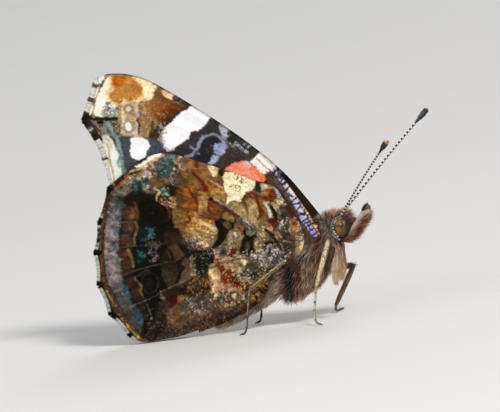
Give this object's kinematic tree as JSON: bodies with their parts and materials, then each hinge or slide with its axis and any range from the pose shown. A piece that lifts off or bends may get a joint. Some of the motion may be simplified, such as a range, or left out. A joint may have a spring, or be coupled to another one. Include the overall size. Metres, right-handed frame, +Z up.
{
  "type": "red admiral butterfly",
  "caption": "Life-size still model of a red admiral butterfly resting with closed wings, antennae raised, standing on its legs and the lower edges of its hindwings.",
  "frame": {"origin": "centre of the model's box on the floor under it", "axes": "+Z up; +X the way the head points; the animal's right side is -Y"},
  "size_m": [0.0399, 0.0195, 0.0314],
  "materials": {
    "body_fur": "brown hair",
    "abdomen_fur": "brown hair",
    "head_fur": "maroon-brown hair",
    "eye": "mottled brown, glossy",
    "palp_hair": "rusty hair with a pale stripe",
    "tongue": "dark brown",
    "antenna_black": "black with fine white rings",
    "antenna_tip": "black club with a cream tip",
    "forewing": "scaled, black, white, red and blue",
    "hindwing": "scaled, mottled brown",
    "leg_tan": "pale tan scales",
    "leg_brown": "brown scales",
    "foreleg_hair": "tan hair brush"
  },
  "bodies": {
    "root": {"head": "head_fur", "thorax": "body_fur", "abdomen": "abdomen_fur", "eye_right": "eye", "eye_left": "eye", "palp_right": "palp_hair", "palp_left": "palp_hair", "proboscis": "tongue", "antenna_right": "antenna_black", "antenna_left": "antenna_black", "antenna_club_right": "antenna_tip", "antenna_club_left": "antenna_tip", "forewing_right": "forewing", "forewing_left": "forewing", "hindwing_right": "hindwing", "hindwing_left": "hindwing", "foreleg_right": "foreleg_hair", "foreleg_left": "foreleg_hair", "midleg_right_femur": "leg_brown", "midleg_right_tibia": "leg_tan", "midleg_right_tarsus": "leg_tan", "midleg_left_femur": "leg_brown", "midleg_left_tibia": "leg_tan", "midleg_left_tarsus": "leg_tan", "hindleg_right_femur": "leg_brown", "hindleg_right_tibia": "leg_tan", "hindleg_right_tarsus": "leg_tan", "hindleg_left_femur": "leg_brown", "hindleg_left_tibia": "leg_tan", "hindleg_left_tarsus": "leg_tan"}
  },
  "joints": []
}
